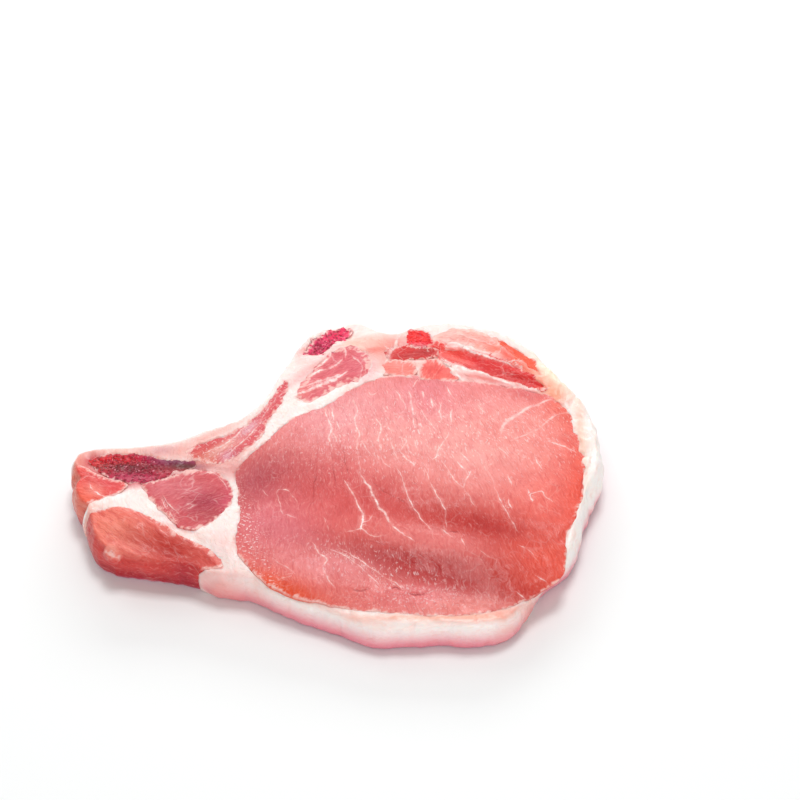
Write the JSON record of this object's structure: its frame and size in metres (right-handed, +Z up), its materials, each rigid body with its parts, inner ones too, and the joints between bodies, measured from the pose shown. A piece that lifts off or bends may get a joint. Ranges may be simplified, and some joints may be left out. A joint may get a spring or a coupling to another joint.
{
  "type": "raw pork rib chop",
  "caption": "A raw bone-in pork rib chop lying flat: a marbled loin eye in a rim of back fat, with small muscles, the rib bone and a belly flap at its end.",
  "frame": {"origin": "On the table, under the middle of the chop's bounding box.", "axes": "+Z is up, out of the cut face. +X runs from the belly flap and sawn rib end towards the back fat of the broad end. +Y runs from the near edge with its back fat to the far edge with the chine bone."},
  "size_m": [0.1434, 0.1082, 0.0134],
  "materials": {
    "lean_loin": "moist raw lean with white marbling",
    "lean_flap": "moist raw lean, fibres along the flap",
    "lean_dark": "moist raw lean, mauve red",
    "lean_striped": "moist raw lean with cream stripes",
    "lean_cap": "wet deep red lean",
    "lean_pale": "moist pale lean",
    "spongy_bone": "sawn spongy bone full of marrow",
    "bone_rim": "sawn bone and gristle in a pale skin",
    "back_fat": "smooth waxy fat, satin"
  },
  "bodies": {
    "root": {"loin_eye": "lean_loin", "tail_flap": "lean_flap", "rib_side_muscle": "lean_dark", "rib_bone": "spongy_bone", "end_meat": "lean_flap", "rib_neck": "bone_rim", "chine_bone": "spongy_bone", "deep_back_muscle": "lean_striped", "feather_bone": "bone_rim", "groove_meat": "lean_cap", "small_muscle_inner": "lean_pale", "small_muscle_outer": "lean_pale", "cap_muscle": "lean_cap", "cap_sliver": "lean_cap", "pale_cap_muscle": "lean_pale", "fat_cover": "back_fat"}
  },
  "joints": []
}
